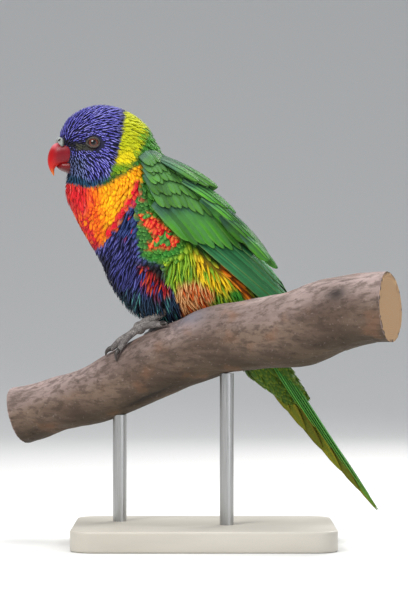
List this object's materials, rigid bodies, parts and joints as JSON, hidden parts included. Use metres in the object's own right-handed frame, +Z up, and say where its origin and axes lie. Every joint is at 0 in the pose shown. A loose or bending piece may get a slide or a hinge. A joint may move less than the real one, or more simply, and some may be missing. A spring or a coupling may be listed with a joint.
{
  "type": "rainbow lorikeet model",
  "caption": "A life-size rainbow lorikeet at rest on a cut length of branch, held over a flat base by short upright rods.",
  "frame": {"origin": "centre of the stand base's underside, which is the floor level", "axes": "+Z up; the bird faces -X, turned ten degrees so that its tail end is towards +Y; its left side and the near face of the branch are towards -Y"},
  "size_m": [0.2282, 0.1207, 0.2534],
  "materials": {
    "navy_plumage": "matt feathered surface",
    "collar_plumage": "matt feathered surface",
    "breast_plumage": "matt feathered surface",
    "green_plumage": "satin feathered surface",
    "olive_plumage": "satin feathered surface",
    "red_horn": "smooth half-gloss horn",
    "grey_skin": "matt scaled skin",
    "dark_horn": "half-gloss horn",
    "eye_glass": "wet gloss",
    "branch_wood": "weathered bark",
    "stand_base_paint": "satin paint",
    "stand_rod_steel": "brushed"
  },
  "bodies": {
    "root": {"head": "navy_plumage", "neck": "collar_plumage", "torso": "breast_plumage", "bill_upper": "red_horn", "bill_lower": "red_horn", "eye_left": "eye_glass", "eye_right": "eye_glass", "wing_left": "green_plumage", "wing_right": "green_plumage", "tail": "olive_plumage", "leg_left": "grey_skin", "leg_right": "grey_skin", "claw_left_1": "dark_horn", "claw_left_2": "dark_horn", "claw_left_3": "dark_horn", "claw_left_4": "dark_horn", "claw_right_1": "dark_horn", "claw_right_2": "dark_horn", "claw_right_3": "dark_horn", "claw_right_4": "dark_horn", "perch_branch": "branch_wood", "stand_base": "stand_base_paint", "stand_rod_1": "stand_rod_steel", "stand_rod_2": "stand_rod_steel"}
  },
  "joints": []
}
